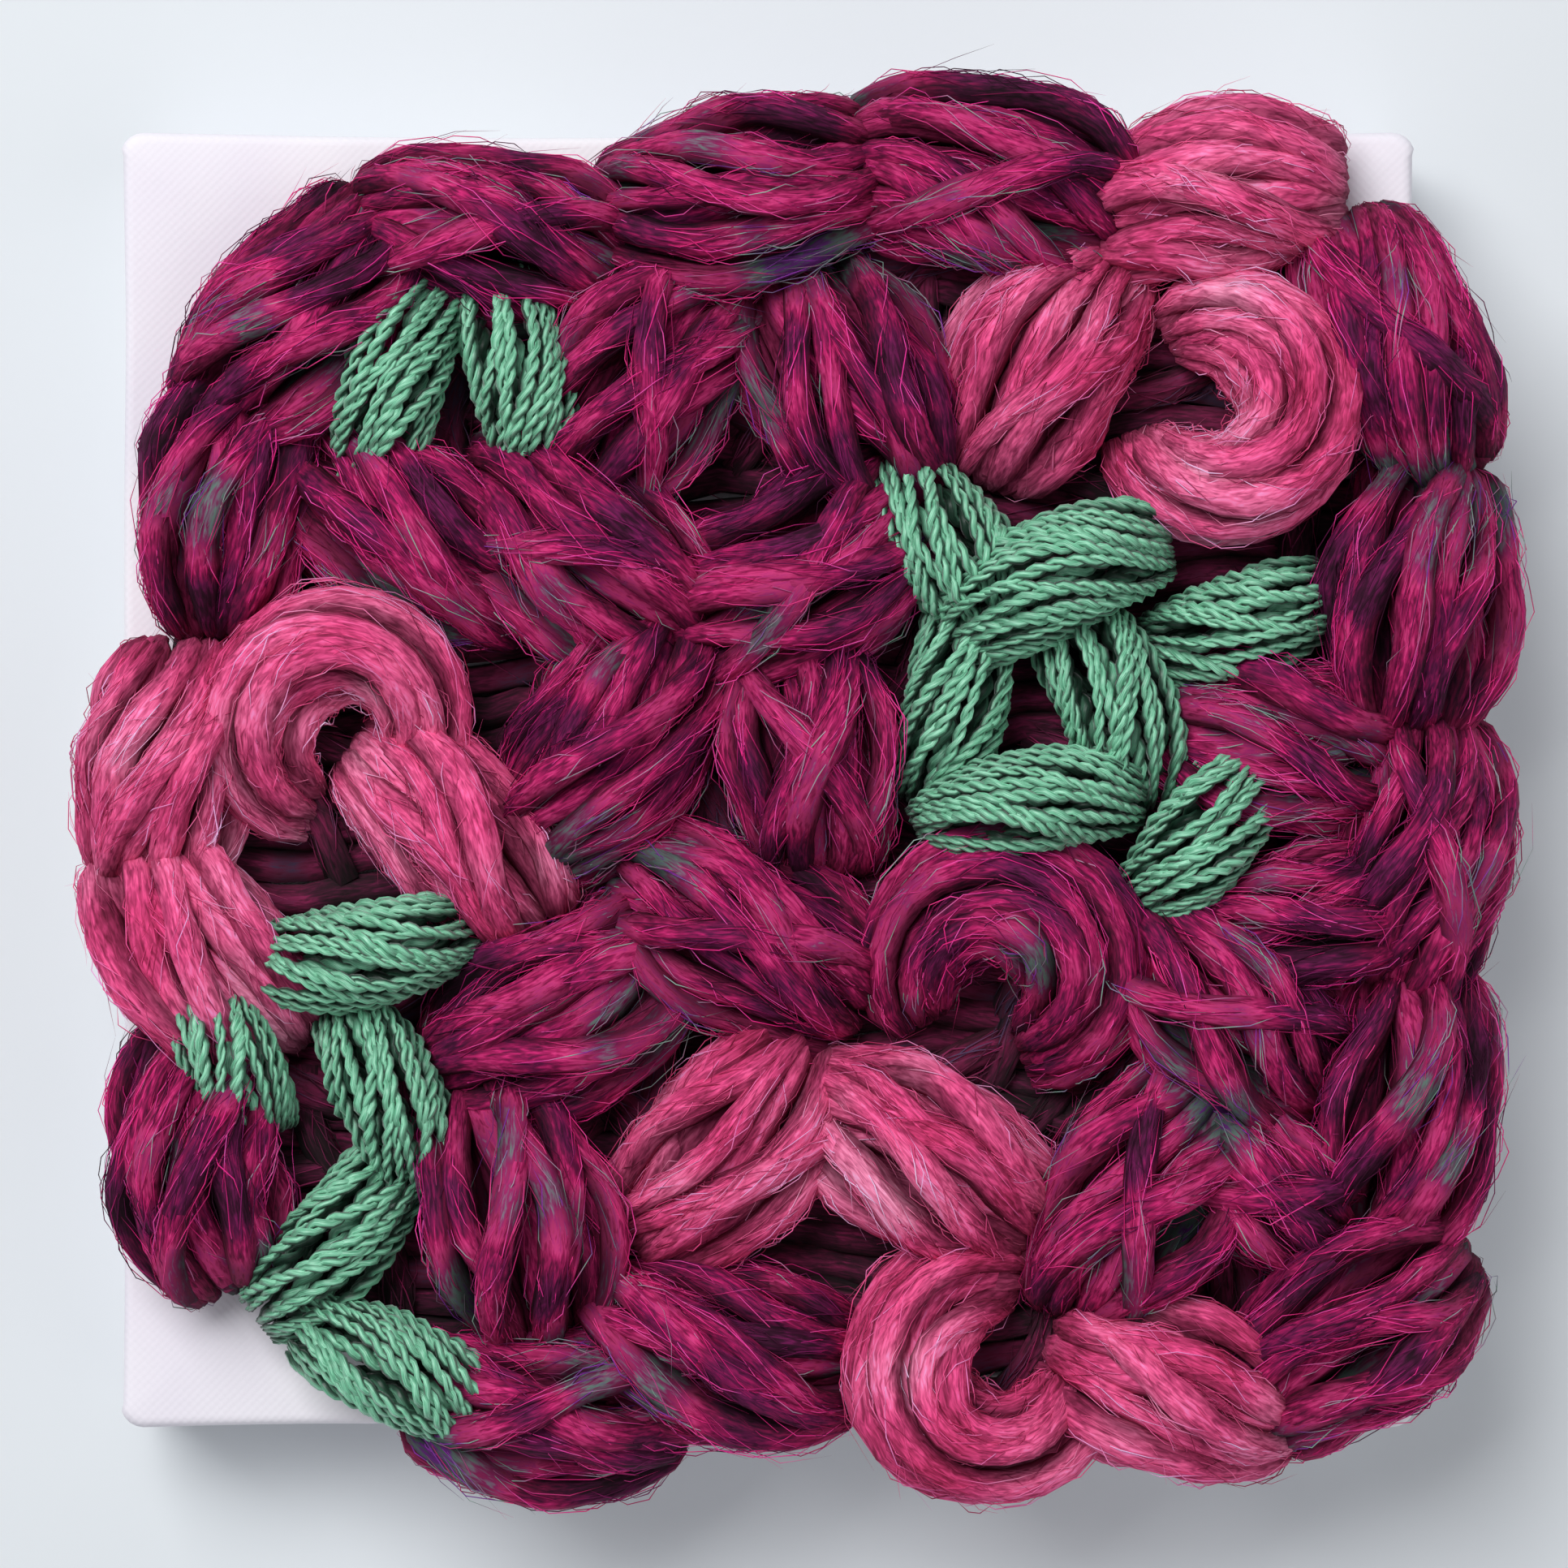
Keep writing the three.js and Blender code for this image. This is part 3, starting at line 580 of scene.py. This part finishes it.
def hank_strands(hank, radius, twist, steps, seed, loose, spacing=1.8, wraps=0):
    """The strands of one hank, side by side round its section and gathered at its ends, with some
    slack in each, over a few inner ones. Wraps are strands that cross over the others. All of it is
    in millimetres until the end, and a strand past the canvas hangs down a little."""
    chance = np.random.default_rng(seed)
    share = np.linspace(0.03, 0.97, steps)
    crown = np.sin(np.pi * share) ** 0.5
    spread = PINCH + (1 - PINCH) * crown
    curvature = math.radians(hank.turn) / hank.length
    half_turn = math.radians(hank.turn) / 2
    sag = (1 - math.sin(half_turn) / half_turn) / curvature
    heading = math.radians(hank.heading)
    turned = curvature * (share - 0.5) * hank.length
    around = math.pi * (hank.width / 2 - radius + 0.5 * hank.rise - radius)
    outer = round(around / (spacing * radius))
    strands = []
    for number in range(INNER + outer + wraps):
        wave = chance.uniform(0, 2 * np.pi, 4)
        fat = 1.0
        if number < INNER:
            angle = 2 * np.pi * number / INNER + 0.2 * np.sin(4 * share + wave[0])
            proud = 0.55 + 0.05 * np.sin(9 * share + wave[1])
            fat = min(1.5, 1.8 / radius)
        elif number < INNER + outer:
            angle = 2 * np.pi * (number + chance.uniform(-0.4, 0.4)) / outer
            angle = angle + math.radians(twist) * (share - 0.5) + 0.24 * np.sin(5 * share + wave[0])
            proud = 1 + chance.uniform(-loose, 0.6 * loose) + 0.4 * loose * np.sin(8 * share + wave[1])
            fat = chance.uniform(0.8, 1.2)
        else:
            ends = math.radians(chance.uniform(20, 50)), math.radians(chance.uniform(130, 160))
            way = chance.choice([-1, 1])
            angle = (ends[0] + ends[1]) / 2 + way * (ends[1] - ends[0]) * (share - 0.5)
            proud = 1.1 + 0.03 * np.sin(7 * share + wave[1])
        # its way across the hank and up, then along the hank's arc and to its place on the canvas
        across = (hank.width / 2 - radius) * spread * np.cos(angle) * proud
        part = np.where(np.sin(angle) < 0, LOW_PART, 1 - LOW_PART)
        up = hank.rise * crown * (LOW_PART + part * np.sin(angle) * proud) - radius * np.sin(angle)
        up = up - 2.2 * (1 - crown) ** 2 + 0.12 * np.sin(16 * share + wave[2])
        local_x = np.sin(turned) / curvature - np.sin(turned) * across
        local_y = (1 - np.cos(turned)) / curvature - sag + np.cos(turned) * across
        x = hank.x + local_x * math.cos(heading) - local_y * math.sin(heading)
        y = hank.y + local_x * math.sin(heading) + local_y * math.cos(heading)
        past = np.clip(np.maximum(np.abs(x), np.abs(y)) - CANVAS_EDGE, 0, None)
        z = HANK_BOTTOM + hank.lift + up - 0.35 * past ** 1.3
        line = np.stack([MIDDLE[0] + x * MM, MIDDLE[1] + y * MM, z * MM], 1)
        # the way out of the hank, and a thickness that is uneven and fine at the ends
        left = heading + turned + np.pi / 2
        out = np.stack([np.cos(angle) * np.cos(left), np.cos(angle) * np.sin(left), np.sin(angle)], 1)
        uneven = 1 + 0.07 * np.sin(11 * share + wave[3]) + 0.06 * np.sin(27 * share + wave[2])
        thick = fat * radius * (0.5 + 0.5 * crown) * uneven
        thick[[0, -1]] *= 0.45
        strands.append((line, out * (thick * MM)[:, None], chance.uniform(0, 1)))
    return strands


heather = [(0.22, "#4C1238"), (0.33, "#7E1A5C"), (0.42, "#B41C66"), (0.48, "#E02A7C"), (0.54, "#F24690"),
           (0.6, "#B42A78"), (0.66, "#8E7088"), (0.71, "#6E8E80"), (0.77, "#6C2A80")]
# strand and the groove value here darken the strands as painted shade under their fuzz and in the grooves
mohair = spun_yarn("brushed_mohair_blend", heather, streak=0.36, fibres=1.3, strand=0.6,
                   painted_groove_shade_floor=0.28, Roughness=0.85, Specular_IOR_Level=0.2)
for number, hank in enumerate(BERRY_HANKS, 1):
    name = f"berry_hank_{number:02d}"
    strands = hank_strands(hank, 1.35, 70, 20, seed=100 + number, loose=0.2, wraps=number % 3)
    piece = new_piece("mohair_" + name, strand_mesh(name + "_lines", strands))
    run_tree(piece, SPUN, {"Strand Length": hank.length * 1.15 * MM, "Sides": 6, "Laid Fibres": 800,
                           "Loose Fibres": 120, "Fibre Length": 6.5 * MM, "Fibre Thickness": 0.11 * MM,
                           "Fuzz": 0.9 * MM, "Halo": 2.2 * MM, "Seed": 1000 + number, "Yarn": mohair})
    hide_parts(name)
    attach(piece, "root")


# The rose hanks: soft single-ply merino in rose pink, thicker strands with shorter fuzz. They are
# stitched down in the same way as the berry ones.

ROSE_HANKS = [Hank(*row) for row in (
    # x, y, heading, length, width, rise, turn, lift
    (34, 44, 10, 22, 14, 10, -20, 0), (21, 32, 60, 22, 14, 10, -25, 0),
    (35, 28, 70, 34, 10.5, 11, 300, 1), (-33, 5, 200, 34, 10.5, 10, 300, 1),
    (-46, 1, 80, 21, 14, 10, 20, 0), (-24, -4, -45, 22, 14, 10, -20, 0),
    (-43, -13, -50, 22, 14, 10, 20, 0), (-3, -28, 50, 23, 14, 10, 25, 0),
    (12, -29, -25, 22, 14, 11, -20, 0), (16, -45, -60, 34, 10.5, 10, 300, 1),
    (31, -46, -12, 21, 14, 10, 20, 0))]

rose = [(0.2, "#B82C5C"), (0.38, "#DE4882"), (0.5, "#F26096"), (0.62, "#FC7CAC"), (0.8, "#FFA4C6")]
# the groove value here darkens the grooves between strands as painted shade
merino = spun_yarn("brushed_merino_single", rose, streak=0.4, fibres=1.2, strand=1.0,
                   painted_groove_shade_floor=0.36, Roughness=0.9, Specular_IOR_Level=0.2)
for number, hank in enumerate(ROSE_HANKS, 1):
    name = f"rose_hank_{number:02d}"
    strands = hank_strands(hank, 1.45, 60, 20, seed=300 + number, loose=0.18, wraps=number % 2)
    piece = new_piece("merino_" + name, strand_mesh(name + "_lines", strands))
    run_tree(piece, SPUN, {"Strand Length": hank.length * 1.15 * MM, "Sides": 6, "Laid Fibres": 800,
                           "Loose Fibres": 140, "Fibre Length": 4.5 * MM, "Fibre Thickness": 0.11 * MM,
                           "Fuzz": 0.7 * MM, "Halo": 1.7 * MM, "Seed": 2000 + number, "Yarn": merino})
    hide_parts(name)
    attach(piece, "root")


# The green hanks: glossy mercerised cotton of two plies, 1.1 mm thick, in small bundles that lie
# over the others. The two plies turn round each other once in 3.2 mm.

GREEN_HANKS = [Hank(*row) for row in (
    # x, y, heading, length, width, rise, turn, lift
    (-28, 30, 75, 19, 8.5, 9, -25, 2.5), (-19, 31, 105, 18, 8.5, 8, 20, 2.5),
    (14, 18, -50, 19, 9.5, 9, 30, 1), (22, 15, 25, 20, 9.5, 9, -35, 3.5),
    (14, 6, 80, 18, 8.5, 8, 25, 1), (26, 6, -65, 19, 9.5, 9, -25, 1),
    (36, 12, 20, 17, 8.5, 8, 30, 1), (20, -2, 10, 19, 8.5, 9, -30, 3.5),
    (33, -4, 55, 17, 8.5, 8, 25, 2.5), (-31, -13, 10, 19, 8.5, 9, 30, 2.5),
    (-29, -24, -65, 18, 8.5, 9, -25, 1), (-33, -35, 50, 19, 8.5, 8, 25, 1),
    (-28, -45, -25, 19, 8.5, 8, -25, 2.5), (-41, -21, 120, 14.5, 7.5, 8, 20, 2.5))]


def plied_cotton_tree():
    """Turns two plies round each strand's centre line and sweeps them."""
    tree, given, result = new_tree("plied_cotton", [
        ("Step", "Float"), ("Pitch", "Float"), ("Sides", "Int"), ("Yarn", "Material")])
    strands = add_node(tree, "GeometryNodeMeshToCurve", {0: given["Geometry"]})
    fine = add_node(tree, "GeometryNodeResampleCurve", {"Curve": strands, "Length": given["Step"]},
                    mode="LENGTH")
    out = add_node(tree, "GeometryNodeInputNamedAttribute", {"Name": "outward"}, data_type="FLOAT_VECTOR")
    tone = add_node(tree, "GeometryNodeInputNamedAttribute", {"Name": "tone"}, data_type="FLOAT_VECTOR")
    lag, _, along = add_node(tree, "ShaderNodeSeparateXYZ", {0: tone}).node.outputs
    tangent = add_node(tree, "GeometryNodeInputTangent")
    side = add_node(tree, "ShaderNodeVectorMath", {0: tangent, 1: out}, operation="CROSS_PRODUCT")
    thick = add_node(tree, "ShaderNodeVectorMath", {0: out}, out="Value", operation="LENGTH")
    ply_radius = add_node(tree, "ShaderNodeMath", {0: thick, 1: 0.56}, operation="MULTIPLY")
    rate = add_node(tree, "ShaderNodeMath", {0: 2 * math.pi * MM, 1: given["Pitch"]}, operation="DIVIDE")
    lead = add_node(tree, "ShaderNodeMath", {0: lag, 1: 6.28}, operation="MULTIPLY")
    turn = add_node(tree, "ShaderNodeMath", {0: along, 1: rate, 2: lead}, operation="MULTIPLY_ADD")
    plies = []
    for start in (0.0, math.pi):
        angle = add_node(tree, "ShaderNodeMath", {0: turn, 1: start}, operation="ADD")
        ways = []
        for axis, wave in ((out, "COSINE"), (side, "SINE")):
            amount = add_node(tree, "ShaderNodeMath", {0: angle}, operation=wave)
            amount = add_node(tree, "ShaderNodeMath", {0: amount, 1: 0.5}, operation="MULTIPLY")
            ways.append(add_node(tree, "ShaderNodeVectorMath", {0: axis, "Scale": amount},
                                 operation="SCALE"))
        away = add_node(tree, "ShaderNodeVectorMath", {0: ways[0], 1: ways[1]}, operation="ADD")
        ply = add_node(tree, "GeometryNodeSetPosition", {"Geometry": fine, "Offset": away})
        plies.append(swept_strand(tree, ply, given["Sides"], ply_radius))
    finish_tree(tree, plies, given["Yarn"], result)
    return tree


def mercerised_cotton():
    """Mercerised cotton: smooth long fibres with a silky gloss, pale where they catch the light,
    with hairline streaks less than 0.1 mm apart along the ply. The palest streaks are partly the
    cotton's own tone and partly painted highlight, and the sides of the plies that face into the
    hank are darkened as painted shade."""
    made, tree, shader = new_material("mercerised_cotton", Roughness=0.38, Specular_IOR_Level=0.6,
                                      Sheen_Weight=0.25, Sheen_Roughness=0.3)
    tone = add_node(tree, "ShaderNodeAttribute", out="Vector", attribute_name="tone")
    ring = add_node(tree, "ShaderNodeAttribute", out="Vector", attribute_name="ring")
    facing = add_node(tree, "ShaderNodeAttribute", out="Fac", attribute_name="facing")
    high = add_node(tree, "ShaderNodeVectorMath", {0: ring, 1: (3.2, 3.2, 0)}, operation="MULTIPLY")
    far = add_node(tree, "ShaderNodeVectorMath", {0: tone, 1: (0, 1.0, 0.5)}, operation="MULTIPLY")
    place = add_node(tree, "ShaderNodeVectorMath", {0: high, 1: far}, operation="ADD")
    lines = add_node(tree, "ShaderNodeTexNoise", {"Vector": place, "Scale": 2.5, "Detail": 2.0}, out="Fac")
    # partly painted highlight: the palest mint of these streaks
    colour = add_node(tree, "ShaderNodeValToRGB", {"Fac": lines},
                      stops=[(0.3, "#4C9E76"), (0.5, "#84D6AE"), (0.7, "#BCF8DA")])
    # painted shade on the sides of the plies that face into the hank
    painted_groove_shade = add_node(tree, "ShaderNodeMapRange", {
        "Value": facing, "From Min": 0.0, "From Max": 0.8, "To Min": 0.12, "To Max": 1.0})
    shade = add_node(tree, "ShaderNodeVectorMath", {0: colour, "Scale": painted_groove_shade}, operation="SCALE")
    relief = add_node(tree, "ShaderNodeBump", {"Height": lines, "Strength": 0.35, "Distance": 0.08 * MM})
    tree.links.new(shade, shader.inputs["Base Color"])
    tree.links.new(relief, shader.inputs["Normal"])
    return made


PLIED = plied_cotton_tree()
cotton = mercerised_cotton()
for number, hank in enumerate(GREEN_HANKS, 1):
    name = f"green_hank_{number:02d}"
    strands = hank_strands(hank, 0.55, 110, 24, seed=500 + number, loose=0.05, spacing=1.75)
    piece = new_piece("cotton_" + name, strand_mesh(name + "_lines", strands))
    run_tree(piece, PLIED, {"Step": 0.5 * MM, "Pitch": 3.2 * MM, "Sides": 4, "Yarn": cotton})
    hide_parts(name)
    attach(piece, "root")


# The studio: a pale matt table top, a large soft lamp up and to the left, a weaker one on the
# other side, and a camera that looks straight down on the picture.

TABLE_REACH = 1.6
# each lamp's place, width and power
LAMPS = {"key": ((-0.30, 0.38, 0.80), 0.5, 6.6), "fill": ((0.6, -0.25, 0.8), 0.9, 1.7)}

# Read off the photograph, in pixels: its width, that of the canvas, and how far the middle of the
# canvas lies to the left of the middle of the picture and above it.
PHOTO_PIXELS = 1932
CANVAS_PIXELS = 1592
PIXELS_LEFT, PIXELS_ABOVE = 20, 5
CAMERA_HEIGHT = 0.42


def matt_card():
    """Pale matt card, with the least mottle of paper."""
    made, tree, shader = new_material("matt_card", Roughness=0.9)
    place = add_node(tree, "ShaderNodeTexCoord", out="Object")
    mottle = add_node(tree, "ShaderNodeTexNoise", {"Vector": place, "Scale": 6.0}, out="Fac")
    pale = add_node(tree, "ShaderNodeValToRGB", {"Fac": mottle}, stops=[(0.0, "#E2E6EA"), (1.0, "#E4E9ED")])
    tree.links.new(pale, shader.inputs["Base Color"])
    return made


table_mesh = bpy.data.meshes.new("table_top")
corners = [(x * TABLE_REACH, y * TABLE_REACH, 0) for x, y in ((-1, -1), (1, -1), (1, 1), (-1, 1))]
table_mesh.from_pydata(corners, [], [(0, 1, 2, 3)])
table = new_piece("table_top", table_mesh)
table.data.materials.append(matt_card())

for name, (place, size, power) in LAMPS.items():
    lamp = bpy.data.lights.new(name, "AREA")
    lamp.size = size
    lamp.energy = power
    lamp_object = bpy.data.objects.new(name, lamp)
    lamp_object.location = place
    aim = np.array(place) / np.linalg.norm(place)
    lamp_object.rotation_euler = (math.acos(aim[2]), 0, math.atan2(aim[0], -aim[1]))
    bpy.context.scene.collection.objects.link(lamp_object)

world = bpy.data.worlds.new("studio_air")
world.use_nodes = True
world.node_tree.nodes["Background"].inputs["Color"].default_value = linear("#EEF2F6")
world.node_tree.nodes["Background"].inputs["Strength"].default_value = 0.32
bpy.context.scene.world = world
bpy.context.scene.view_settings.view_transform = "Standard"
# the deep gaps between strands stay dark with few bounces, as in the photograph
bpy.context.scene.cycles.max_bounces = 3
bpy.context.scene.cycles.diffuse_bounces = 2

pixel = CANVAS_SIDE / CANVAS_PIXELS
camera = bpy.data.cameras.new("camera")
camera.sensor_width = 36
camera.lens = camera.sensor_width * CAMERA_HEIGHT / (PHOTO_PIXELS * pixel)
camera_object = bpy.data.objects.new("camera", camera)
camera_object.location = (MIDDLE[0] + PIXELS_LEFT * pixel, MIDDLE[1] - PIXELS_ABOVE * pixel,
                          CANVAS_TOP + CAMERA_HEIGHT)
bpy.context.scene.collection.objects.link(camera_object)
bpy.context.scene.camera = camera_object
